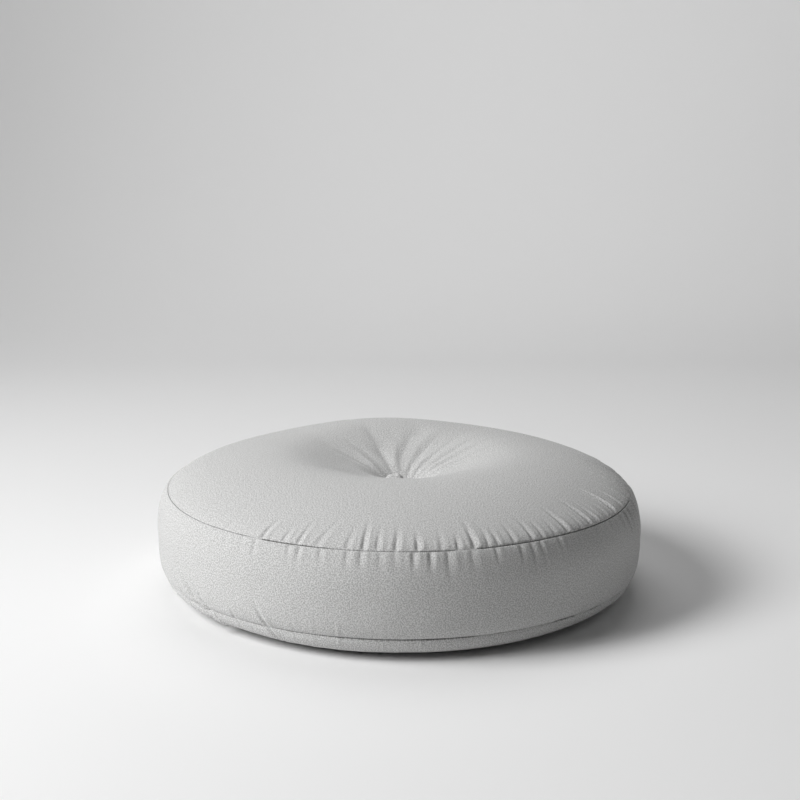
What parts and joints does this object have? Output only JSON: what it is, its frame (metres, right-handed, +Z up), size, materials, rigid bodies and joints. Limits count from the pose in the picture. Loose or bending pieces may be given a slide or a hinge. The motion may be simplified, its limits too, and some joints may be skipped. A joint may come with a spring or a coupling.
{
  "type": "zafu meditation cushion",
  "caption": "Round boxed floor cushion of plain woven cloth, crowned and pinched by one central tuft, with a puckered side band between two plain seams.",
  "frame": {"origin": "centre of the flat underside, on the floor, under the central tuft", "axes": "+Z up through the tuft, along the cushion's axis; -Y towards the front of the picture, +X to its right"},
  "size_m": [0.4504, 0.4512, 0.128],
  "materials": {
    "grey_cloth": "matt plain weave, light neutral grey, fine pepper-and-salt grain"
  },
  "bodies": {
    "root": {"top_panel": "grey_cloth", "side_band": "grey_cloth", "bottom_panel": "grey_cloth"}
  },
  "joints": []
}
